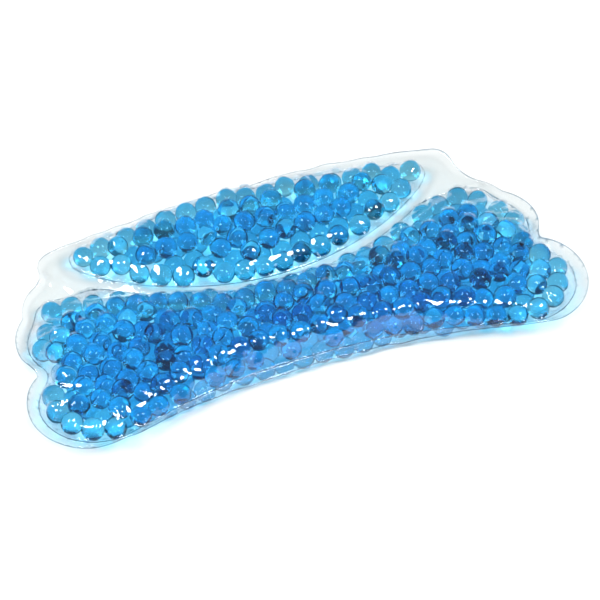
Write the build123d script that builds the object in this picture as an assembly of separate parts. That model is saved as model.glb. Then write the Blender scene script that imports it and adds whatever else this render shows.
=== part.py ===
"""Gel-bead eye pillow: a clear film pack with two welded chambers of round hydrogel beads.

Axes: +X along the width, +Y from the front (nose) edge to the rear edge, +Z up.
Origin: middle of the pack's width and depth, on the surface that it lies on.
"""
import os
from math import cos, pi, radians, sin, sqrt

from build123d import *

# Driving dimensions, in millimetres.
WIDTH_AT_LOBES = 210.0
REAR_EDGE_Y = 55.0
FRONT_EDGE_Y = -42.0
LOBE_RADIUS = 24.5
LOBE_CENTRE_Y = -30.5
REAR_CORNER = (74.0, 46.0)
SIDE_DIP = (85.0, 31.0)
UPPER_NOTCH = (93.0, 18.0)
REAR_ARC_BULGE = 2.2
REAR_CORNER_BULGE = 2.6
DIP_BULGE = -0.6
SMALL_LOBE_BULGE = 2.0
SIDE_LOBE_BULGE = 5.0
LOWER_NOTCH_ANGLE = radians(48.0)
NOTCH_ROUNDING = 2.5

WELD_Z = 8.0
WELD_THICKNESS = 0.7
PERIMETER_WELD_WIDTH = 4.5
CHAMBER_WELD_Y = 4.0
CHAMBER_WELD_RADIUS = 103.0
CHAMBER_WELD_WIDTH = 3.6
FRONT_CHAMBER_REAR_Y = 23.5
REAR_CHAMBER_HALF_WIDTH = 69.0
FRONT_CORNER_ROUNDING = 9.0
REAR_CORNER_ROUNDING = 5.0

FILM_THICKNESS = 0.4
FRONT_TOP_Z = 22.2
REAR_TOP_Z = 15.8
FRONT_TOP_ROUNDING = 7.0
REAR_TOP_ROUNDING = 3.5
UNDERSIDE_ROUNDING = 3.5

BEAD_DIAMETER = 7.9
BEAD_PITCH = 8.02
BEAD_CLEARANCE = 0.08

PORT_WELD_LENGTH = 9.0
FRONT_PORT_Y = 19.5
REAR_PORT_X = 70.0

LOBE_CENTRE_X = WIDTH_AT_LOBES / 2 - LOBE_RADIUS
BEAD_RADIUS = BEAD_DIAMETER / 2
LAYER_RISE = BEAD_PITCH * sqrt(2 / 3)
FAR = 2 * WIDTH_AT_LOBES
NEAR = 0.05


def lobe_point(angle):
    """A point on the front lobe's round edge, right-hand side."""
    return (LOBE_CENTRE_X + LOBE_RADIUS * cos(angle), LOBE_CENTRE_Y + LOBE_RADIUS * sin(angle))


def front_arc_radius():
    """Radius of the hollow front edge that runs tangent into both front lobes."""
    rise = LOBE_CENTRE_Y - FRONT_EDGE_Y
    return (LOBE_CENTRE_X**2 + rise**2 - LOBE_RADIUS**2) / (2 * (LOBE_RADIUS - rise))


def pack_outline():
    """The whole pack's flat outline: gently arched rear, scalloped sides, hollow front."""
    radius = front_arc_radius()
    reach = radius / (radius + LOBE_RADIUS)
    centre_y = FRONT_EDGE_Y - radius
    join = (LOBE_CENTRE_X * reach, centre_y + (LOBE_CENTRE_Y - centre_y) * reach)
    corner_end = (REAR_CORNER[0] + 7.5, REAR_CORNER[1] - 9.0)
    lower_notch = lobe_point(LOWER_NOTCH_ANGLE)
    half = [
        SagittaArc((0, REAR_EDGE_Y), REAR_CORNER, REAR_ARC_BULGE),
        SagittaArc(REAR_CORNER, corner_end, REAR_CORNER_BULGE),
        SagittaArc(corner_end, SIDE_DIP, DIP_BULGE),
        SagittaArc(SIDE_DIP, UPPER_NOTCH, SMALL_LOBE_BULGE),
        SagittaArc(UPPER_NOTCH, lower_notch, SIDE_LOBE_BULGE),
        ThreePointArc(lower_notch, lobe_point(-pi / 8), join),
        ThreePointArc(join, _on_front_arc(join[0] / 2, radius), (0, FRONT_EDGE_Y)),
    ]
    edges = half + [mirror(edge, about=Plane.YZ) for edge in half]
    face = make_face(edges)
    notches = [v for v in face.vertices() if _is_notch(v, lower_notch)]
    return fillet(notches, NOTCH_ROUNDING)


def _on_front_arc(x, radius):
    return (x, FRONT_EDGE_Y - radius + sqrt(radius**2 - x**2))


def _is_notch(vertex, lower_notch):
    places = (SIDE_DIP, UPPER_NOTCH, lower_notch)
    return any(abs(abs(vertex.X) - x) < NEAR and abs(vertex.Y - y) < NEAR for x, y in places)


def weld_disc(radius):
    """Everything behind an arc that is concentric with the weld between the chambers."""
    centre_y = CHAMBER_WELD_Y + CHAMBER_WELD_RADIUS
    return Pos(0, centre_y) * Circle(radius)


def front_chamber(inside):
    """The front chamber's outline: all in front of the weld and of the clear rear corners."""
    region = inside - weld_disc(CHAMBER_WELD_RADIUS + CHAMBER_WELD_WIDTH / 2)
    region -= Pos(0, FRONT_CHAMBER_REAR_Y + FAR / 2) * Rectangle(FAR, FAR)
    return with_round_corners(largest(region), FRONT_CORNER_ROUNDING)


def rear_chamber(inside):
    """The rear chamber's outline: a crescent between the weld and the rear edge."""
    region = inside & weld_disc(CHAMBER_WELD_RADIUS - CHAMBER_WELD_WIDTH / 2)
    region &= Rectangle(2 * REAR_CHAMBER_HALF_WIDTH, FAR)
    return with_round_corners(largest(region), REAR_CORNER_ROUNDING)


def with_round_corners(face, radius):
    """The face, shrunk and grown again, so that no outer corner is sharper than the radius."""
    return largest(offset(shrunk(face, radius), amount=radius))


def largest(region):
    return region.faces().sort_by(SortBy.AREA)[-1]


def formed_panel(outline, far_z, rounding):
    """One chamber's film on one side of the weld: a shallow tray of even thickness."""
    height = far_z - WELD_Z
    skin = FILM_THICKNESS if height > 0 else -FILM_THICKNESS
    outer = rounded_tray(outline, height, rounding)
    inner = rounded_tray(shrunk(outline, FILM_THICKNESS), height - skin, rounding - FILM_THICKNESS)
    return outer - inner


def rounded_tray(outline, height, rounding):
    block = Pos(0, 0, WELD_Z) * extrude(outline, amount=height)
    far_face = block.faces().sort_by(Axis.Z)[-1 if height > 0 else 0]
    return fillet(far_face.edges(), rounding)


def shrunk(face, distance):
    return largest(offset(face, amount=-distance))


def wall_setback(depth, rounding):
    """How far a bead's centre stays from the side wall, at a depth below the rounded face."""
    inner = rounding - FILM_THICKNESS
    if depth >= inner or inner <= BEAD_RADIUS:
        return BEAD_RADIUS + BEAD_CLEARANCE
    room = max((inner - BEAD_RADIUS) ** 2 - (inner - depth) ** 2, 0.0)
    return inner - sqrt(room) + BEAD_CLEARANCE


def bead_layers(outline, top_z, top_rounding, count):
    """Layers of touching beads, each in the hollows of the one below, from the underside up."""
    layers = []
    for index in range(count):
        z = FILM_THICKNESS + BEAD_CLEARANCE + BEAD_RADIUS + index * LAYER_RISE
        setback = max(
            wall_setback(z - FILM_THICKNESS, UNDERSIDE_ROUNDING),
            wall_setback(top_z - FILM_THICKNESS - z, top_rounding),
        )
        room = shrunk(outline, FILM_THICKNESS + setback)
        layers.append([bead_at(point, z) for point in lattice(index) if room.is_inside(point)])
    return layers


def lattice(layer):
    """Centres of one close-packed layer over the whole pack, in the plane of the outline."""
    row_gap = BEAD_PITCH * sqrt(3) / 2
    shift_y = (layer % 2) * BEAD_PITCH / sqrt(3)
    columns = int(WIDTH_AT_LOBES / BEAD_PITCH / 2) + 1
    for row in range(-8, 9):
        for column in range(-columns, columns + 1):
            x = (column + (row % 2) / 2) * BEAD_PITCH
            yield Vector(x, row * row_gap + shift_y, 0)


def bead_at(point, z):
    return Pos(point.X, point.Y, z) * Sphere(BEAD_RADIUS)


def weld_plate(region):
    """A fused band of both films, on the middle plane of the flange."""
    lift = WELD_Z - WELD_THICKNESS / 2
    return Pos(0, 0, lift) * extrude(region, amount=WELD_THICKNESS)


def port_patch(flange, x, y, turn):
    """The short stretch of the flange that was closed last, after filling."""
    patch = Pos(x, y) * Rot(0, 0, turn) * Rectangle(PORT_WELD_LENGTH, 3 * PERIMETER_WELD_WIDTH)
    return flange & patch


def write(name, shape):
    export_step(shape, f"parts/{name}.step")


def main():
    os.makedirs("parts", exist_ok=True)
    outline = pack_outline()
    inside = shrunk(outline.face(), PERIMETER_WELD_WIDTH)
    front = front_chamber(inside)
    rear = rear_chamber(inside)

    write("front_upper_film", formed_panel(front, FRONT_TOP_Z, FRONT_TOP_ROUNDING))
    write("rear_upper_film", formed_panel(rear, REAR_TOP_Z, REAR_TOP_ROUNDING))
    write("front_lower_film", formed_panel(front, 0, UNDERSIDE_ROUNDING))
    write("rear_lower_film", formed_panel(rear, 0, UNDERSIDE_ROUNDING))

    flange = outline.face() - inside
    front_port = port_patch(flange, UPPER_NOTCH[0] - 1.0, FRONT_PORT_Y, 110)
    rear_port = port_patch(flange, REAR_PORT_X, 45.0, -15)
    write("perimeter_weld", weld_plate(flange - front_port - rear_port))
    write("front_port_weld", weld_plate(front_port))
    write("rear_port_weld", weld_plate(rear_port))
    write("chamber_weld", weld_plate(largest(inside - front - rear)))

    front_names = ("bottom", "middle", "top")
    for name, beads in zip(front_names, bead_layers(front, FRONT_TOP_Z, FRONT_TOP_ROUNDING, 3)):
        write(f"front_beads_{name}_layer", Compound(children=beads))
        print("front", name, len(beads), "beads")
    rear_names = ("bottom", "top")
    for name, beads in zip(rear_names, bead_layers(rear, REAR_TOP_Z, REAR_TOP_ROUNDING, 2)):
        write(f"rear_beads_{name}_layer", Compound(children=beads))
        print("rear", name, len(beads), "beads")


main()
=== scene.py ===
"""Gel-bead eye pillow: a clear welded film pack, filled with loose hydrogel beads.

The two films are cut flat, welded and blown up by a cloth simulation. The result is eased back to
the cut outline and thickened to set sizes by formula. Beads are then packed into both chambers,
the films are drawn down over the beads, and gathers are added along the welds.
"""
import math

import bpy
import numpy as np
from bpy.props import FloatProperty, FloatVectorProperty, IntProperty, PointerProperty
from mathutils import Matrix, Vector
from mathutils.bvhtree import BVHTree
from mathutils.geometry import delaunay_2d_cdt
from mathutils.kdtree import KDTree


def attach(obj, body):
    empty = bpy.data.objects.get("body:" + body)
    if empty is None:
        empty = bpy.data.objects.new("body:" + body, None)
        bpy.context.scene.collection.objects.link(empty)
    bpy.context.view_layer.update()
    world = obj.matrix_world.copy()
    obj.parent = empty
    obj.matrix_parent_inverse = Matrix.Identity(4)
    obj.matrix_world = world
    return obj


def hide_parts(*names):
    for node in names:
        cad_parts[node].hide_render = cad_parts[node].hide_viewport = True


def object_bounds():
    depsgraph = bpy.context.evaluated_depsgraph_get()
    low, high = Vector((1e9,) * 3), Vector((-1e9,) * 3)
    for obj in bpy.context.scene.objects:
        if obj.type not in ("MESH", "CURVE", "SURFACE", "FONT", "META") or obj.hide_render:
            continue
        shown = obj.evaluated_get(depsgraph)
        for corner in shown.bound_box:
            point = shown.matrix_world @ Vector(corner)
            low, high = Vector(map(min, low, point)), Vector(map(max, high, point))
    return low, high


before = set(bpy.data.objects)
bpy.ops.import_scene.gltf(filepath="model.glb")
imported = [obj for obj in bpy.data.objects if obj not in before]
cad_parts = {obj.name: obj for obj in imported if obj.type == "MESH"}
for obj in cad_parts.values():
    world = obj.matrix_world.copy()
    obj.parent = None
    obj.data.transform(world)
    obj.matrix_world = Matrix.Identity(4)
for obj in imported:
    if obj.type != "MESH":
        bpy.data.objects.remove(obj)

bl_info = {
    "name": "Gel-bead eye pillow",
    "version": (1, 0, 0),
    "blender": (4, 5, 0),
    "location": "View3D > Sidebar > Eye pillow",
    "description": "Builds a clear two-chamber eye pillow filled with gel beads",
    "category": "Add Mesh",
}

CAD_BOX = [list(corner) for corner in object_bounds()]
LOW, HIGH = (np.array(corner) for corner in CAD_BOX)
MM = 0.001

# What each face of the pouch is, in the order of the pouch's material slots.
REGIONS = ("front_upper_film", "rear_upper_film", "front_lower_film", "rear_lower_film",
           "perimeter_weld", "chamber_weld")
FRONT_UP, REAR_UP, FRONT_LOW, REAR_LOW, RIM, WEB = range(6)

# What one operator hands to the next: the blown-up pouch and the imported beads.
work = {}


def linear(value):
    return value / 12.92 if value <= 0.04045 else ((value + 0.055) / 1.055) ** 2.4


def hex_colour(text):
    """The linear colour of an sRGB hex value such as #1A2B3C."""
    return tuple(linear(int(text[i:i + 2], 16) / 255) for i in (1, 3, 5))


class PackSizes(bpy.types.PropertyGroup):
    flange: FloatProperty(name="Flange width", description="Width of the fused edge",
                          default=4.5 * MM, min=2 * MM, unit="LENGTH")
    web: FloatProperty(name="Chamber weld width", description="Width of the weld between chambers",
                       default=3.6 * MM, min=1 * MM, unit="LENGTH")
    film: FloatProperty(name="Film thickness", description="Thickness of one sheet of film",
                        default=0.35 * MM, min=0.1 * MM, unit="LENGTH")
    bead: FloatProperty(name="Bead diameter", description="Mean diameter of a swollen gel bead",
                        default=8.0 * MM, min=3 * MM, unit="LENGTH")
    bead_variation: FloatProperty(name="Bead variation", description="Spread of bead diameters",
                                  default=0.06, min=0.0, max=0.3, subtype="FACTOR")
    seed: IntProperty(name="Seed", description="Seed of the beads' sizes and places", default=4)
    pressure: FloatProperty(name="Filling pressure", description="How hard the pack is filled",
                            default=30.0, min=0.0)
    sheet_step: FloatProperty(name="Cloth step", description="Edge length of the cut sheets",
                              default=3.2 * MM, min=2 * MM, unit="LENGTH")


class PackColours(bpy.types.PropertyGroup):
    gel: FloatVectorProperty(name="Gel", description="What one bead lets through",
                             default=hex_colour("#B8E9F4"), size=3, subtype="COLOR")
    gel_deep: FloatVectorProperty(name="Deep gel", description="What the darkest bead lets through",
                                  default=hex_colour("#A9E1EF"), size=3, subtype="COLOR")
    film: FloatVectorProperty(name="Film", description="What the clear film lets through",
                              default=hex_colour("#FAFBFC"), size=3, subtype="COLOR")
    floor: FloatVectorProperty(name="Floor", description="Colour of the floor",
                               default=hex_colour("#E7E7E7"), size=3, subtype="COLOR")


class PackStage(bpy.types.PropertyGroup):
    azimuth: FloatProperty(name="Camera azimuth", description="Turn about the vertical",
                           default=math.radians(-20), subtype="ANGLE")
    elevation: FloatProperty(name="Camera elevation", description="Angle above the floor",
                             default=math.radians(49), subtype="ANGLE")
    distance: FloatProperty(name="Camera distance", description="From the point looked at",
                            default=1.095, unit="LENGTH")
    lens: FloatProperty(name="Lens", description="Focal length in millimetres", default=180.0)
    softbox: FloatProperty(name="Softbox brightness", description="Radiance of each softbox",
                           default=30.0)
    room: FloatProperty(name="Room light", description="Radiance of the white room", default=0.18)


# --- Flat cut of the sheets -------------------------------------------------------------------

LOBE_RADIUS = 24.5 * MM
LOBE_CENTRE = np.array([HIGH[0] - LOBE_RADIUS, LOW[1] + LOBE_RADIUS])
FRONT_MIDDLE_Y = -42.0 * MM
LOWER_NOTCH_ANGLE = math.radians(48)
REAR_MIDDLE = (0.0, HIGH[1])
# The right-hand side from the rear middle on: where each arc starts, and how far it bulges.
SIDE_ARCS = ((REAR_MIDDLE, 2.2 * MM), ((74 * MM, 46 * MM), 2.6 * MM),
             ((81.5 * MM, 37 * MM), -0.6 * MM), ((85 * MM, 31 * MM), 2.0 * MM),
             ((93 * MM, 18 * MM), 5.0 * MM))
WELD_RADIUS = 103 * MM
WELD_MIDDLE_Y = 4 * MM
FRONT_CHAMBER_REAR_Y = 24 * MM
REAR_CHAMBER_HALF = 70 * MM
WIDER_REAR_RIM = 1.2 * MM
CORNER_SOFTNESS = 1.2 * MM
SHRINKAGE = 1.02
FRONT_PRESSURE_SHARE = 0.4


def round_arc(centre, radius, start, end, step):
    """Points from start, up to but not including end, on a circle."""
    count = max(1, round(abs(end - start) * radius / step))
    angle = start + (end - start) * np.arange(count) / count
    return centre + radius * np.column_stack([np.cos(angle), np.sin(angle)])


def bulged_arc(a, b, bulge, step):
    """Points from a, up to but not including b, on an arc that bulges to the left of a to b."""
    a, b = np.array(a, float), np.array(b, float)
    chord = np.linalg.norm(b - a)
    left = np.array([a[1] - b[1], b[0] - a[0]]) / chord
    radius = (chord**2 / 4 + bulge**2) / (2 * abs(bulge))
    sign = math.copysign(1, bulge)
    centre = (a + b) / 2 - left * sign * (radius - abs(bulge))
    start = math.atan2(a[1] - centre[1], a[0] - centre[0])
    turn = 2 * math.asin(min(1.0, chord / 2 / radius)) * sign
    return round_arc(centre, radius, start, start - turn, step)


def cut_outline(step):
    """The pack's outline, clockwise from the rear middle: arched rear, scalloped sides."""
    rise = LOBE_CENTRE[1] - FRONT_MIDDLE_Y
    front_radius = (LOBE_CENTRE @ LOBE_CENTRE - LOBE_CENTRE[1]**2 + rise**2
                    - LOBE_RADIUS**2) / (2 * (LOBE_RADIUS - rise))
    front_centre = np.array([0.0, FRONT_MIDDLE_Y - front_radius])
    join = front_centre + (LOBE_CENTRE - front_centre) * front_radius / (front_radius + LOBE_RADIUS)
    notch = LOBE_CENTRE + LOBE_RADIUS * np.array([math.cos(LOWER_NOTCH_ANGLE),
                                                  math.sin(LOWER_NOTCH_ANGLE)])
    ends = [place for place, _ in SIDE_ARCS[1:]] + [notch]
    runs = [bulged_arc(a, b, bulge, step) for (a, bulge), b in zip(SIDE_ARCS, ends)]
    to_join = math.atan2(join[1] - LOBE_CENTRE[1], join[0] - LOBE_CENTRE[0])
    runs.append(round_arc(LOBE_CENTRE, LOBE_RADIUS, LOWER_NOTCH_ANGLE, to_join, step))
    from_join = math.atan2(join[1] - front_centre[1], join[0])
    runs.append(round_arc(front_centre, front_radius, from_join, math.pi / 2, step))
    right = np.concatenate(runs)
    left = right[1:][::-1] * (-1, 1)
    return np.concatenate([right, [[0.0, FRONT_MIDDLE_Y]], left])


def depth_inside(points, loop):
    """How far inside a closed loop each point lies; outside is negative."""
    along, after = loop, np.roll(loop, -1, 0)
    dx, dy = (after - along).T
    px = points[:, None, 0] - along[None, :, 0]
    py = points[:, None, 1] - along[None, :, 1]
    share = np.clip((px * dx + py * dy) / (dx * dx + dy * dy), 0, 1)
    away = np.hypot(px - share * dx, py - share * dy).min(1)
    crosses = (py < 0) != (py < dy)
    hits = crosses & (px < py * dx / np.where(dy == 0, 1e-12, dy))
    return np.where(hits.sum(1) % 2 == 1, away, -away)


def chamber_depths(points, loop, sizes):
    """How deep each point lies in the front chamber and in the rear one."""
    edge = depth_inside(points, loop)
    from_centre = np.hypot(points[:, 0], points[:, 1] - WELD_MIDDLE_Y - WELD_RADIUS)
    half_web = sizes.web / 2
    front = soft_least(edge - sizes.flange, from_centre - WELD_RADIUS - half_web,
                       FRONT_CHAMBER_REAR_Y - points[:, 1])
    rear = soft_least(edge - sizes.flange - WIDER_REAR_RIM, WELD_RADIUS - half_web - from_centre,
                      REAR_CHAMBER_HALF - np.abs(points[:, 0]))
    return front, rear


def soft_least(*depths):
    """The least of several depths, rounded off where two of them meet."""
    stack = np.stack(depths)
    least = stack.min(0)
    return least - CORNER_SOFTNESS * np.log(np.exp((least - stack) / CORNER_SOFTNESS).sum(0))


def traced(depth, loop, step):
    """The loop moved onto the line where depth is zero, smoothed and evenly spaced."""
    line, tiny = loop.copy(), 0.01 * MM
    for _ in range(25):
        value = depth(line)
        slope = np.column_stack([depth(line + (tiny, 0)) - value,
                                 depth(line + (0, tiny)) - value]) / tiny
        line = line - slope * (value / np.maximum((slope**2).sum(1), 0.2))[:, None]
    line = evenly(line, step / 3)
    for _ in range(6):
        line = (line + np.roll(line, 1, 0) + np.roll(line, -1, 0)) / 3
    return evenly(line, step)


def evenly(loop, step):
    """A closed loop again, with points about step apart."""
    closed = np.concatenate([loop, loop[:1]])
    along = np.concatenate([[0], np.cumsum(np.linalg.norm(np.diff(closed, axis=0), axis=1))])
    at = np.linspace(0, along[-1], max(8, round(along[-1] / step)), endpoint=False)
    return np.column_stack([np.interp(at, along, closed[:, k]) for k in (0, 1)])


def cut_sheets(sizes):
    """The flat cut as (points, triangles, region of each triangle)."""
    step = sizes.sheet_step
    edge = cut_outline(step)
    fine_edge = cut_outline(step / 2)
    front = traced(lambda p: chamber_depths(p, fine_edge, sizes)[0], fine_edge, step)
    rear = traced(lambda p: chamber_depths(p, fine_edge, sizes)[1], fine_edge, step)
    rows = np.arange(LOW[1], HIGH[1], step * math.sqrt(3) / 2)
    columns = np.arange(LOW[0] - step, HIGH[0] + step, step)
    grid = np.concatenate([np.column_stack([columns + step / 2 * (k % 2), np.full(len(columns), y)])
                           for k, y in enumerate(rows)])
    lines, first = [], 0
    for loop in (edge, front, rear):
        lines += [(first + i, first + (i + 1) % len(loop)) for i in range(len(loop))]
        first += len(loop)
    loops = np.concatenate([edge, front, rear])
    clear = np.minimum(depth_inside(grid, edge),
                       np.linalg.norm(grid[:, None] - loops[None], axis=2).min(1))
    points = np.concatenate([loops, grid[clear > step * 0.6]])
    cut = delaunay_2d_cdt([Vector(p) for p in points], lines, [], 1, 1e-7)
    flat = np.array([tuple(p) for p in cut[0]])
    triangles = np.array(cut[2])
    middle = flat[triangles].mean(1)
    from_centre = np.hypot(middle[:, 0], middle[:, 1] - WELD_MIDDLE_Y - WELD_RADIUS)
    band = (np.abs(from_centre - WELD_RADIUS) < sizes.web) & (middle[:, 1] < FRONT_CHAMBER_REAR_Y)
    region = np.where(band, WEB, RIM)
    region[depth_inside(middle, front) > 0] = FRONT_UP
    region[depth_inside(middle, rear) > 0] = REAR_UP
    return flat, triangles, region


def two_sheets(flat, triangles, region):
    """The welded pouch, flat: films are doubled inside the chambers and share the welds."""
    chamber = region <= REAR_UP
    uses = np.bincount(triangles.ravel(), minlength=len(flat))
    free = np.bincount(triangles[chamber].ravel(), minlength=len(flat)) == uses
    lower = np.arange(len(flat))
    lower[free] = len(flat) + np.arange(free.sum())
    start_gap = 0.4 * MM
    top = np.column_stack([flat * SHRINKAGE, np.where(free, start_gap, 0.0)])
    bottom = np.column_stack([flat[free] * SHRINKAGE, np.full(free.sum(), -start_gap)])
    faces = np.concatenate([triangles, lower[triangles[chamber]][:, ::-1]])
    labels = np.concatenate([region, region[chamber] + FRONT_LOW])
    behind = np.hypot(flat[:, 0], flat[:, 1] - WELD_MIDDLE_Y - WELD_RADIUS) < WELD_RADIUS
    share = np.where(behind, 1.0, FRONT_PRESSURE_SHARE) * free
    pairs = np.column_stack([np.nonzero(free)[0], lower[free], behind[free]])
    return np.concatenate([top, bottom]), faces, labels, np.concatenate([share, share[free]]), pairs


# --- Small helpers for meshes and nodes -------------------------------------------------------

def new_mesh(name, points, faces):
    mesh = bpy.data.meshes.new(name)
    mesh.from_pydata(np.asarray(points).tolist(), [], np.asarray(faces).tolist())
    mesh.update()
    return mesh


def new_object(name, data):
    piece = bpy.data.objects.new(name, data)
    bpy.context.scene.collection.objects.link(piece)
    return piece


def points_of(mesh):
    flat = np.zeros(len(mesh.vertices) * 3)
    mesh.vertices.foreach_get("co", flat)
    return flat.reshape(-1, 3)


def evaluated_mesh(piece):
    graph = bpy.context.evaluated_depsgraph_get()
    return bpy.data.meshes.new_from_object(piece.evaluated_get(graph))


def add_node(tree, kind, settings=None, values=None, links=None):
    """One node with its settings, its sockets' values and the sockets that feed it."""
    node = tree.nodes.new(kind)
    for name, value in (settings or {}).items():
        setattr(node, name, value)
    for name, value in (values or {}).items():
        node.inputs[name].default_value = value
    for name, socket in (links or {}).items():
        tree.links.new(socket, node.inputs[name])
    return node


def new_material(name):
    material = bpy.data.materials.new(name)
    material.use_nodes = True
    material.node_tree.nodes.clear()
    return material, material.node_tree


def opaque(colour):
    return (*colour[:3], 1.0)


# --- Materials --------------------------------------------------------------------------------

def clear_pvc_film(colours):
    """Calendered clear PVC: nearly invisible face on, with a wet gloss and faint handling marks."""
    material, tree = new_material("clear_calendered_pvc")
    place = add_node(tree, "ShaderNodeTexCoord").outputs["Object"]
    # Soft waves about 12 mm apart, from the film being rolled and handled.
    waves = add_node(tree, "ShaderNodeTexNoise", values={"Scale": 80.0, "Detail": 2.0},
                     links={"Vector": place})
    bump = add_node(tree, "ShaderNodeBump", values={"Strength": 0.25, "Distance": 0.4 * MM},
                    links={"Height": waves.outputs["Fac"]})
    facing = add_node(tree, "ShaderNodeLayerWeight", values={"Blend": 0.5},
                      links={"Normal": bump.outputs[0]})
    steep = add_node(tree, "ShaderNodeMath", {"operation": "POWER"}, {1: 5.0},
                     {0: facing.outputs["Facing"]})
    mirror = add_node(tree, "ShaderNodeMath", {"operation": "MULTIPLY_ADD"}, {1: 0.95, 2: 0.045},
                      {0: steep.outputs[0]})
    through = add_node(tree, "ShaderNodeBsdfTransparent", values={"Color": opaque(colours.film)})
    gloss = add_node(tree, "ShaderNodeBsdfGlossy",
                     values={"Color": (1, 1, 1, 1), "Roughness": 0.06},
                     links={"Normal": bump.outputs[0]})
    mixed = add_node(tree, "ShaderNodeMixShader",
                     links={0: mirror.outputs[0], 1: through.outputs[0], 2: gloss.outputs[0]})
    add_node(tree, "ShaderNodeOutputMaterial", links={"Surface": mixed.outputs[0]})
    return material


def fused_pvc_film(colours):
    """Two films melted into one by a welding bar: clear on its flat faces, with painted shade on
    its cut edge.
    """
    material, tree = new_material("fused_pvc_weld")
    place = add_node(tree, "ShaderNodeTexCoord").outputs["Object"]
    # The welding bar leaves a faint grain about 2 mm across.
    grain = add_node(tree, "ShaderNodeTexNoise", values={"Scale": 500.0, "Detail": 1.0},
                     links={"Vector": place})
    bump = add_node(tree, "ShaderNodeBump", values={"Strength": 0.15, "Distance": 0.1 * MM},
                    links={"Height": grain.outputs["Fac"]})
    # Painted shade: the steep walls of the cut edge let through blue-grey instead of clear, which
    # draws dark lines along the edge.
    face = add_node(tree, "ShaderNodeTexCoord").outputs["Normal"]
    upright = add_node(tree, "ShaderNodeSeparateXYZ", links={0: face}).outputs["Z"]
    flat = add_node(tree, "ShaderNodeMath", {"operation": "ABSOLUTE"}, links={0: upright})
    painted_edge_shade = add_node(tree, "ShaderNodeMapRange", values={"From Min": 0.25, "From Max": 0.75},
                    links={"Value": flat.outputs[0]})
    # Painted shade: blue-grey on the steep edge walls, near-clear on the flat faces.
    colour = add_node(tree, "ShaderNodeMix", {"data_type": "RGBA"},
                      {"A": opaque(hex_colour("#8FA6B6")), "B": opaque(hex_colour("#F8FAFA"))},
                      {"Factor": painted_edge_shade.outputs["Result"]})
    through = add_node(tree, "ShaderNodeBsdfTransparent",
                       links={"Color": colour.outputs["Result"]})
    facing = add_node(tree, "ShaderNodeLayerWeight", values={"Blend": 0.5},
                      links={"Normal": bump.outputs[0]})
    steep = add_node(tree, "ShaderNodeMath", {"operation": "POWER"}, {1: 5.0},
                     {0: facing.outputs["Facing"]})
    mirror = add_node(tree, "ShaderNodeMath", {"operation": "MULTIPLY_ADD"}, {1: 0.95, 2: 0.045},
                      {0: steep.outputs[0]})
    gloss = add_node(tree, "ShaderNodeBsdfGlossy",
                     values={"Color": (1, 1, 1, 1), "Roughness": 0.08},
                     links={"Normal": bump.outputs[0]})
    mixed = add_node(tree, "ShaderNodeMixShader",
                     links={0: mirror.outputs[0], 1: through.outputs[0], 2: gloss.outputs[0]})
    add_node(tree, "ShaderNodeOutputMaterial", links={"Surface": mixed.outputs[0]})
    return material


def hydrogel(colours):
    """Dyed hydrogel, almost all water: a wet, lens-like ball, each a slightly different blue."""
    material, tree = new_material("dyed_hydrogel")
    tone = add_node(tree, "ShaderNodeAttribute",
                    {"attribute_type": "GEOMETRY", "attribute_name": "tone"})
    dye = add_node(tree, "ShaderNodeMix", {"data_type": "RGBA"},
                   {"A": opaque(colours.gel), "B": opaque(colours.gel_deep)},
                   {"Factor": tone.outputs["Fac"]})
    colour = dye.outputs["Result"]
    glass = add_node(tree, "ShaderNodeBsdfGlass", values={"Roughness": 0.0, "IOR": 1.34},
                     links={"Color": colour})
    through = add_node(tree, "ShaderNodeBsdfTransparent", links={"Color": colour})
    path = add_node(tree, "ShaderNodeLightPath")
    mixed = add_node(tree, "ShaderNodeMixShader",
                     links={0: path.outputs["Is Shadow Ray"], 1: glass.outputs[0],
                            2: through.outputs[0]})
    add_node(tree, "ShaderNodeOutputMaterial", links={"Surface": mixed.outputs[0]})
    return material


def matt_floor(colours):
    """Seamless paper: an even, matt, pale sweep."""
    material, tree = new_material("seamless_paper")
    paper = add_node(tree, "ShaderNodeBsdfPrincipled",
                     values={"Base Color": opaque(colours.floor), "Roughness": 0.9})
    add_node(tree, "ShaderNodeOutputMaterial", links={"Surface": paper.outputs[0]})
    return material


# --- Blowing up the pouch ---------------------------------------------------------------------

REST_HEIGHT = 8 * MM
INFLATE_FRAMES = 36
FINE_LEVELS = 2
FRONT_THICKNESS = 21.5 * MM
REAR_THICKNESS = 16.0 * MM
# How much of the added thickness goes into the upper film.
LIFT_SHARE = 0.7
# Below 1, the chambers are fuller near their edges than the cloth alone makes them.
FRONT_FULLNESS = 0.62
REAR_FULLNESS = 0.45
DRIFT_REACH = 12 * MM
# The share of the welds' rise that is taken off again.
DROOP = 0.4


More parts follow.
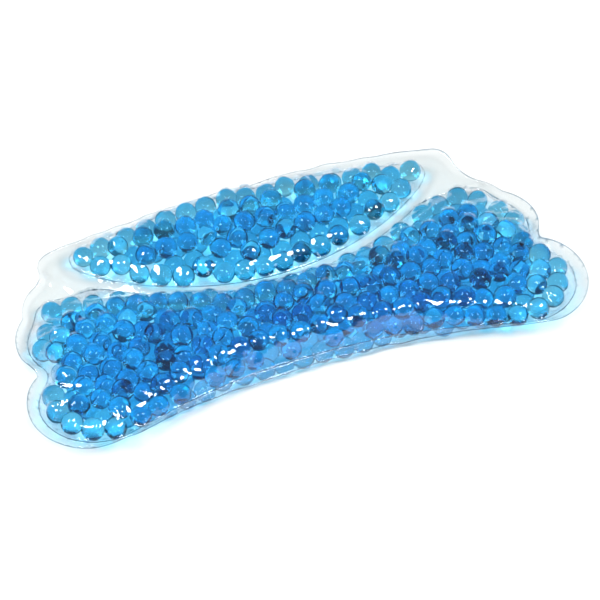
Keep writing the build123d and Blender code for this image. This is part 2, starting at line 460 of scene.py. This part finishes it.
def inflated(points, faces, loose, sizes):
    """The flat pouch's points after a cloth simulation has filled it, above a floor."""
    scene = bpy.context.scene
    pouch = new_object("pouch_form", new_mesh("pouch_form", points, faces))
    filled = pouch.vertex_groups.new(name="filled")
    for share in np.unique(loose[loose > 0]):
        filled.add(np.nonzero(loose == share)[0].tolist(), float(share), "REPLACE")
    far = 2 * HIGH[0]
    corners = [(-far, -far, -REST_HEIGHT), (far, -far, -REST_HEIGHT),
               (far, far, -REST_HEIGHT), (-far, far, -REST_HEIGHT)]
    table = new_object("pouch_table", new_mesh("pouch_table", corners, [(0, 1, 2, 3)]))
    table.modifiers.new("table", "COLLISION")
    table.collision.thickness_outer = 1 * MM
    table.collision.cloth_friction = 5
    cloth = pouch.modifiers.new("cloth", "CLOTH")
    film = cloth.settings
    film.quality, film.mass = 6, 0.05
    film.tension_stiffness = film.compression_stiffness = 25
    film.shear_stiffness, film.bending_stiffness = 12, 0.3
    film.tension_damping = film.compression_damping = 25
    film.bending_damping, film.air_damping = 1, 2
    film.use_pressure, film.uniform_pressure_force = True, sizes.pressure
    film.vertex_group_pressure = "filled"
    film.effector_weights.gravity = 0
    cloth.collision_settings.distance_min = 1 * MM
    cloth.point_cache.frame_start, cloth.point_cache.frame_end = 1, INFLATE_FRAMES
    for number in range(1, INFLATE_FRAMES + 1):
        scene.frame_set(number)
    mesh = evaluated_mesh(pouch)
    shaped = points_of(mesh)
    for piece in (pouch, table):
        bpy.data.objects.remove(piece)
    bpy.data.meshes.remove(mesh)
    scene.frame_set(1)
    return shaped


def back_in_place(points, cut, welded):
    """The filled pouch eased back, all round, until its welds run where they were cut."""
    points = points.copy()
    floor = points[:, 2].min()
    drift = points[welded] - cut[welded] / SHRINKAGE
    drift[:, 2] *= DROOP
    apart = np.linalg.norm(cut[:, None, :2] - cut[None, welded, :2], axis=2)
    weight = np.exp(-(apart / DRIFT_REACH)**2 / 2) + 1e-9
    points -= weight @ drift / weight.sum(1)[:, None]
    points[:, 2] = np.maximum(points[:, 2], floor)
    return points


def filled_out(points, pairs):
    """Both chambers thickened to what they hold: mostly upwards, never into the floor."""
    points = points.copy()
    floor = points[:, 2].min()
    for behind, wanted, fullness in ((0, FRONT_THICKNESS, FRONT_FULLNESS),
                                     (1, REAR_THICKNESS, REAR_FULLNESS)):
        upper, lower = pairs[pairs[:, 2] == behind, :2].T
        thick = points[upper, 2] - points[lower, 2]
        share = np.clip(thick / np.percentile(thick, 99), 0, 1)
        extra = wanted * share**fullness - thick
        points[upper, 2] += LIFT_SHARE * extra
        points[lower, 2] = np.maximum(points[lower, 2] - (1 - LIFT_SHARE) * extra, floor)
    points[:, 2] -= floor
    return points


def subdivided(points, faces, labels, levels):
    """The pouch's faces divided smoothly: (points, quads, region of each quad)."""
    mesh = new_mesh("pouch_fine", points, faces)
    for name in REGIONS:
        mesh.materials.append(bpy.data.materials.new(name))
    mesh.polygons.foreach_set("material_index", labels.astype(np.int32))
    pouch = new_object("pouch_fine", mesh)
    finer = pouch.modifiers.new("finer", "SUBSURF")
    finer.levels = finer.render_levels = levels
    fine = evaluated_mesh(pouch)
    quads = np.zeros(len(fine.polygons) * 4, np.int32)
    fine.polygons.foreach_get("vertices", quads)
    region = np.zeros(len(fine.polygons), np.int32)
    fine.polygons.foreach_get("material_index", region)
    result = points_of(fine), quads.reshape(-1, 4), region
    bpy.data.objects.remove(pouch)
    for material in list(fine.materials):
        bpy.data.materials.remove(material)
    bpy.data.meshes.remove(fine)
    return result


class EYEPILLOW_OT_form_pouch(bpy.types.Operator):
    """Cut, weld and blow up the two films"""
    bl_idname = "eyepillow.form_pouch"
    bl_label = "Form the pouch"

    def execute(self, context):
        sizes = context.scene.pack_sizes
        flat, triangles, region = cut_sheets(sizes)
        points, faces, labels, loose, pairs = two_sheets(flat, triangles, region)
        shaped = inflated(points, faces, loose, sizes)
        if not np.isfinite(shaped).all():
            raise RuntimeError("the cloth simulation has failed")
        shaped = back_in_place(shaped, points, np.nonzero(loose == 0)[0])
        shaped = filled_out(shaped, pairs)
        work["coarse"] = (shaped, faces, labels)
        work["fine"] = subdivided(shaped, faces, labels, FINE_LEVELS)
        return {"FINISHED"}


# --- Packing the beads ------------------------------------------------------------------------

def chamber_tree(points, faces, labels, regions):
    """A search tree of one chamber's film, whose faces point outwards."""
    chosen = faces[np.isin(labels, regions)]
    return BVHTree.FromPolygons(points.tolist(), chosen.tolist())


def wall_push(tree, centres, radii):
    """How each bead has to move to clear the film, and how deep inside it lies."""
    push = np.zeros_like(centres)
    depth = np.zeros(len(centres))
    for i, centre in enumerate(centres):
        place, normal, _, away = tree.find_nearest(Vector(centre))
        out = np.array(Vector(centre) - place)
        depth[i] = -math.copysign(away, Vector(out).dot(normal))
        if depth[i] < radii[i]:
            push[i] = -np.array(normal) * (radii[i] - depth[i])
    return push, depth


def start_places(box_low, box_high, pitch):
    """Centres of close-packed layers through a box."""
    rise, row = pitch * math.sqrt(2 / 3), pitch * math.sqrt(3) / 2
    for layer, z in enumerate(np.arange(box_low[2] + pitch / 2, box_high[2], rise)):
        for k, y in enumerate(np.arange(box_low[1], box_high[1], row)):
            for x in np.arange(box_low[0], box_high[0], pitch):
                yield x + (k % 2) * pitch / 2, y + (layer % 2) * pitch / math.sqrt(3), z


# Spacing of the first lattice and its scatter, in bead diameters, and how near the film it goes.
START_PITCH, START_SCATTER, START_CLEARANCE = 0.965, 0.07, 0.25
# For each turn: how much of an overlap is pushed apart, and how far beads sink, in diameters.
PUSH_SHARE, SINK_SHARE = 0.35, 0.002
# In bead radii: how close to its centre the film may come, and how deep inside a kept bead lies.
WALL_FIT, KEPT_DEPTH = 0.97, 0.35
SETTLE_TURNS = 170
# The most crowded beads are taken out at these turns, so that the rest can lie side by side.
THINNING_TURNS = (40, 60, 80, 100)
THINNED_SHARE = 0.03


def settled_beads(tree, low, high, sizes, rng):
    """Loose beads that fill a chamber without lying in each other: (centres, radii)."""
    centres = np.array(list(start_places(low, high, sizes.bead * START_PITCH)))
    _, depth = wall_push(tree, centres, np.zeros(len(centres)))
    centres = centres[depth > sizes.bead * START_CLEARANCE]
    radii = sizes.bead / 2 * (1 + sizes.bead_variation * rng.uniform(-1, 1, len(centres)))
    centres = centres + rng.normal(0, sizes.bead * START_SCATTER, centres.shape)
    for turn in range(SETTLE_TURNS):
        gap = centres[:, None] - centres[None]
        away = np.linalg.norm(gap, axis=2) + 1e-9
        inside = np.maximum(radii[:, None] + radii[None] - away, 0)
        np.fill_diagonal(inside, 0)
        centres = centres + PUSH_SHARE * (gap / away[..., None] * inside[..., None]).sum(1)
        centres[:, 2] -= sizes.bead * SINK_SHARE
        if turn in THINNING_TURNS:
            crowding = inside.sum(1)
            roomy = crowding < np.quantile(crowding, 1 - THINNED_SHARE)
            centres, radii = centres[roomy], radii[roomy]
        push, depth = wall_push(tree, centres, radii * WALL_FIT)
        centres = centres + push
        centres[:, 2] = np.maximum(centres[:, 2], radii + sizes.film)
    kept = depth > radii * KEPT_DEPTH
    return centres[kept], radii[kept]


def bead_tree(sizes):
    """Geometry Nodes: one low, smooth ball on every point, scaled by the point's bead_size."""
    tree = bpy.data.node_groups.new("beads_on_points", "GeometryNodeTree")
    face = tree.interface
    face.new_socket("Geometry", in_out="INPUT", socket_type="NodeSocketGeometry")
    face.new_socket("Diameter", in_out="INPUT", socket_type="NodeSocketFloat")
    face.new_socket("Seed", in_out="INPUT", socket_type="NodeSocketInt")
    face.new_socket("Material", in_out="INPUT", socket_type="NodeSocketMaterial")
    face.new_socket("Geometry", in_out="OUTPUT", socket_type="NodeSocketGeometry")
    given = add_node(tree, "NodeGroupInput").outputs
    cube = add_node(tree, "GeometryNodeMeshCube", values={
        "Size": (1, 1, 1), "Vertices X": 5, "Vertices Y": 5, "Vertices Z": 5})
    place = add_node(tree, "GeometryNodeInputPosition")
    out = add_node(tree, "ShaderNodeVectorMath", {"operation": "NORMALIZE"},
                   links={0: place.outputs[0]})
    half = add_node(tree, "ShaderNodeMath", {"operation": "MULTIPLY"}, {1: 0.5},
                    {0: given["Diameter"]})
    sized = add_node(tree, "ShaderNodeVectorMath", {"operation": "SCALE"},
                     links={0: out.outputs[0], "Scale": half.outputs[0]})
    ball = add_node(tree, "GeometryNodeSetPosition",
                    links={"Geometry": cube.outputs["Mesh"], "Position": sized.outputs[0]})
    smooth = add_node(tree, "GeometryNodeSetShadeSmooth", links={"Geometry": ball.outputs[0]})
    turn = add_node(tree, "FunctionNodeRandomValue", {"data_type": "FLOAT_VECTOR"},
                    links={"Seed": given["Seed"]})
    turn.inputs["Max"].default_value = (math.tau, math.tau, math.tau)
    size = add_node(tree, "GeometryNodeInputNamedAttribute", {"data_type": "FLOAT"},
                    {"Name": "bead_size"})
    placed = add_node(tree, "GeometryNodeInstanceOnPoints", links={
        "Points": given["Geometry"], "Instance": smooth.outputs[0],
        "Rotation": turn.outputs["Value"], "Scale": size.outputs["Attribute"]})
    real = add_node(tree, "GeometryNodeRealizeInstances", links={"Geometry": placed.outputs[0]})
    dyed = add_node(tree, "GeometryNodeSetMaterial",
                    links={"Geometry": real.outputs[0], "Material": given["Material"]})
    add_node(tree, "NodeGroupOutput", links={"Geometry": dyed.outputs[0]})
    return tree


def bead_piece(name, centres, radii, sizes, material, rng):
    """All beads of one chamber as one plain mesh."""
    seeds = new_mesh(name, centres, [])
    scale = seeds.attributes.new("bead_size", "FLOAT", "POINT")
    scale.data.foreach_set("value", radii * 2 / sizes.bead)
    tone = seeds.attributes.new("tone", "FLOAT", "POINT")
    tone.data.foreach_set("value", rng.uniform(0, 1, len(centres)))
    piece = new_object(name, seeds)
    nodes = piece.modifiers.new("beads", "NODES")
    tree = bead_tree(sizes)
    nodes.node_group = tree
    wanted = {"Diameter": sizes.bead, "Seed": sizes.seed, "Material": material}
    for item in tree.interface.items_tree:
        if item.in_out == "INPUT" and item.name in wanted:
            nodes[item.identifier] = wanted[item.name]
    made = evaluated_mesh(piece)
    piece.modifiers.clear()
    piece.data = made
    made.name = name
    return piece


class EYEPILLOW_OT_fill_beads(bpy.types.Operator):
    """Pack loose gel beads into both chambers"""
    bl_idname = "eyepillow.fill_beads"
    bl_label = "Fill with beads"

    def execute(self, context):
        if "coarse" not in work:
            raise RuntimeError("form the pouch first")
        sizes = context.scene.pack_sizes
        rng = np.random.default_rng(sizes.seed)
        gel = hydrogel(context.scene.pack_colours)
        points, faces, labels = work["coarse"]
        chambers = (("front_beads", (FRONT_UP, FRONT_LOW), ("front_beads_bottom_layer",
                     "front_beads_middle_layer", "front_beads_top_layer")),
                    ("rear_beads", (REAR_UP, REAR_LOW), ("rear_beads_bottom_layer",
                     "rear_beads_top_layer")))
        packed = []
        for name, regions, nodes in chambers:
            used = points[np.unique(faces[np.isin(labels, regions)])]
            tree = chamber_tree(points, faces, labels, regions)
            centres, radii = settled_beads(tree, used.min(0), used.max(0), sizes, rng)
            piece = bead_piece(name, centres, radii, sizes, gel, rng)
            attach(piece, "root")
            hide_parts(*nodes)
            packed.append((centres, radii))
            print(name, len(centres), "beads")
        work["beads"] = [np.concatenate(part) for part in zip(*packed)]
        return {"FINISHED"}


# --- Draping the films over the beads ---------------------------------------------------------

NEIGHBOURS = 6
EASE = 0.35
SUCTION = 0.012 * MM
DRAPE_TURNS = 30
PUCKER_LIFT = 1.2 * MM
PUCKER_START, PUCKER_REACH = 8.5 * MM, 10 * MM


def edges_of(quads):
    sides = np.concatenate([quads[:, [k, (k + 1) % 4]] for k in range(4)])
    return np.unique(np.sort(sides, axis=1), axis=0)


def gathered(index, values, count):
    """The sum of the values that belong to each index."""
    return np.column_stack([np.bincount(index, values[:, k], count) for k in range(3)])


def draped(points, quads, fixed, centres, radii, gap, flange):
    """The films drawn in until they rest on the beads, as a taut skin that bridges hollows."""
    tree = KDTree(len(centres))
    for i, centre in enumerate(centres):
        tree.insert(centre, i)
    tree.balance()
    free = np.nonzero(~fixed)[0]
    near = np.array([[i for _, i, _ in tree.find_n(Vector(points[v]), NEIGHBOURS)] for v in free])
    reach = radii[near] + gap
    sides = edges_of(quads)
    count = np.bincount(sides.ravel(), minlength=len(points))[:, None]
    moved = points.copy()
    for turn in range(DRAPE_TURNS):
        smooth = gathered(sides.T.ravel(), moved[sides[:, ::-1].T.ravel()], len(moved)) / count
        moved[free] += EASE * (smooth - moved)[free]
        moved[free] -= vertex_normals(moved, quads)[free] * SUCTION
        for k in range(NEIGHBOURS):
            out = moved[free] - centres[near[:, k]]
            away = np.linalg.norm(out, axis=1)
            lift = np.maximum(reach[:, k] - away, 0) / np.maximum(away, 1e-9)
            moved[free] += out * lift[:, None]
        moved[:, 2] = np.maximum(moved[:, 2], 0)
    lift = puckers(moved[free], flange)
    moved[free] += vertex_normals(moved, quads)[free] * lift[:, None]
    moved[:, 2] = np.maximum(moved[:, 2], 0)
    return moved


def puckers(points, flange):
    """How far the gathers lift the film: ridges that run in from the welded edge and die out."""
    edge = cut_outline(1 * MM)
    along = np.append(0, np.cumsum(np.linalg.norm(np.diff(edge, axis=0), axis=1)))
    tree = KDTree(len(edge))
    for i, place in enumerate(edge):
        tree.insert((*place, 0), i)
    tree.balance()
    found = [tree.find((x, y, 0)) for x, y, _ in points]
    where = along[[i for _, i, _ in found]]
    inside = np.array([away for _, _, away in found])
    ridge = (0.5 + 0.25 * np.sin(math.tau * where / (7.3 * MM))
             + 0.25 * np.sin(math.tau * where / (11.9 * MM) + 1))
    fading = np.exp(-(np.maximum(inside - PUCKER_START, 0) / PUCKER_REACH)**2)
    rising = np.clip((inside - flange) / (PUCKER_START - flange), 0, 1)
    return PUCKER_LIFT * ridge**2 * rising * fading


def vertex_normals(points, quads):
    across = np.cross(points[quads[:, 2]] - points[quads[:, 0]],
                      points[quads[:, 3]] - points[quads[:, 1]])
    normals = gathered(quads.ravel(), np.repeat(across, 4, axis=0), len(points))
    return normals / np.maximum(np.linalg.norm(normals, axis=1), 1e-12)[:, None]


def region_piece(name, regions, thickness, offset, material):
    """One piece of the pouch as a closed shell of film."""
    points, quads, labels = work["draped"]
    chosen = quads[np.isin(labels, regions)]
    used, faces = np.unique(chosen, return_inverse=True)
    mesh = new_mesh(name, points[used], faces.reshape(-1, 4))
    mesh.polygons.foreach_set("use_smooth", np.ones(len(mesh.polygons), bool))
    mesh.materials.append(material)
    piece = new_object(name, mesh)
    wall = piece.modifiers.new("thickness", "SOLIDIFY")
    wall.thickness, wall.offset = thickness, offset
    solid = evaluated_mesh(piece)
    piece.modifiers.clear()
    piece.data = solid
    solid.name = name
    return piece


class EYEPILLOW_OT_drape_films(bpy.types.Operator):
    """Draw both films down over the beads"""
    bl_idname = "eyepillow.drape_films"
    bl_label = "Drape the films"

    def execute(self, context):
        if "beads" not in work:
            raise RuntimeError("fill the pouch with beads first")
        sizes = context.scene.pack_sizes
        points, quads, labels = work["fine"]
        centres, radii = work["beads"]
        fixed = np.zeros(len(points), bool)
        fixed[np.unique(quads[labels >= RIM])] = True
        shape = draped(points, quads, fixed, centres, radii, sizes.film, sizes.flange)
        work["draped"] = (shape, quads, labels)
        film = clear_pvc_film(context.scene.pack_colours)
        for region in (FRONT_UP, REAR_UP, FRONT_LOW, REAR_LOW):
            node = REGIONS[region]
            piece = region_piece(node + "_sheet", (region,), sizes.film, -1.0, film)
            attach(piece, "root")
            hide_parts(node)
        return {"FINISHED"}


class EYEPILLOW_OT_weld_bands(bpy.types.Operator):
    """Make the fused flange and the weld between the chambers"""
    bl_idname = "eyepillow.weld_bands"
    bl_label = "Weld bands"

    def execute(self, context):
        if "draped" not in work:
            raise RuntimeError("drape the films first")
        sizes = context.scene.pack_sizes
        fused = fused_pvc_film(context.scene.pack_colours)
        piece = region_piece("fused_band", (RIM, WEB), 1.8 * sizes.film, 0.0, fused)
        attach(piece, "root")
        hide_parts("perimeter_weld", "chamber_weld", "front_port_weld", "rear_port_weld")
        return {"FINISHED"}


# --- Stage ------------------------------------------------------------------------------------

LOOK_AT = Vector((5.2 * MM, -3.9 * MM, 0))
SOFTBOX_ANGLE = math.radians(17)
SOFTBOX_DISTANCE = 1.4


def direction(azimuth, elevation):
    """Unit vector from the object towards a place at that azimuth and elevation."""
    return Vector((math.sin(azimuth) * math.cos(elevation),
                   -math.cos(azimuth) * math.cos(elevation), math.sin(elevation)))


def aimed(piece, place, target):
    piece.location = place
    piece.rotation_euler = (place - target).to_track_quat("Z", "Y").to_euler()


class EYEPILLOW_OT_stage(bpy.types.Operator):
    """Set up the floor, the lights and the camera"""
    bl_idname = "eyepillow.stage"
    bl_label = "Stage"

    def execute(self, context):
        scene, stage = context.scene, context.scene.pack_stage
        side = 3.0
        floor = new_object("floor", new_mesh("floor", [
            (-side, -side, 0), (side, -side, 0), (side, side, 0), (-side, side, 0)],
            [(0, 1, 2, 3)]))
        floor.location.z = -0.05 * MM
        floor.data.materials.append(matt_floor(scene.pack_colours))

        world = bpy.data.worlds.new("white_room")
        world.use_nodes = True
        room = world.node_tree.nodes["Background"]
        room.inputs["Color"].default_value = (1, 1, 1, 1)
        room.inputs["Strength"].default_value = stage.room
        scene.world = world

        size = 2 * SOFTBOX_DISTANCE * math.tan(SOFTBOX_ANGLE / 2)
        for name, azimuth in (("softbox_left", -72), ("softbox_right", 36)):
            data = bpy.data.lights.new(name, "AREA")
            data.shape, data.size = "SQUARE", size
            data.energy = stage.softbox * math.pi * size**2
            lamp = new_object(name, data)
            aimed(lamp, direction(math.radians(azimuth), math.radians(56)) * SOFTBOX_DISTANCE,
                  Vector((0, 0, 0)))

        lens = bpy.data.cameras.new("camera")
        lens.lens = stage.lens
        camera = new_object("camera", lens)
        aimed(camera, LOOK_AT + direction(stage.azimuth, stage.elevation) * stage.distance, LOOK_AT)
        scene.camera = camera
        scene.view_settings.view_transform = "Standard"
        scene.cycles.max_bounces = 32
        scene.cycles.transmission_bounces = 32
        scene.cycles.transparent_max_bounces = 64
        return {"FINISHED"}


class EYEPILLOW_PT_panel(bpy.types.Panel):
    bl_idname = "EYEPILLOW_PT_panel"
    bl_label = "Eye pillow"
    bl_space_type = "VIEW_3D"
    bl_region_type = "UI"
    bl_category = "Eye pillow"

    def draw(self, context):
        for group in (context.scene.pack_sizes, context.scene.pack_colours,
                      context.scene.pack_stage):
            for name in group.__annotations__:
                self.layout.prop(group, name)
        for step in STEPS:
            self.layout.operator(step.bl_idname)


GROUPS = (("pack_sizes", PackSizes), ("pack_colours", PackColours), ("pack_stage", PackStage))
STEPS = (EYEPILLOW_OT_stage, EYEPILLOW_OT_form_pouch, EYEPILLOW_OT_fill_beads,
         EYEPILLOW_OT_drape_films, EYEPILLOW_OT_weld_bands)


def register():
    for name, group in GROUPS:
        bpy.utils.register_class(group)
        setattr(bpy.types.Scene, name, PointerProperty(type=group))
    for kind in STEPS + (EYEPILLOW_PT_panel,):
        bpy.utils.register_class(kind)


def unregister():
    for kind in reversed(STEPS + (EYEPILLOW_PT_panel,)):
        bpy.utils.unregister_class(kind)
    for name, group in reversed(GROUPS):
        delattr(bpy.types.Scene, name)
        bpy.utils.unregister_class(group)


def main():
    register()
    bpy.ops.eyepillow.stage()
    bpy.ops.eyepillow.form_pouch()
    bpy.ops.eyepillow.fill_beads()
    bpy.ops.eyepillow.drape_films()
    bpy.ops.eyepillow.weld_bands()


if __name__ == "__main__":
    main()
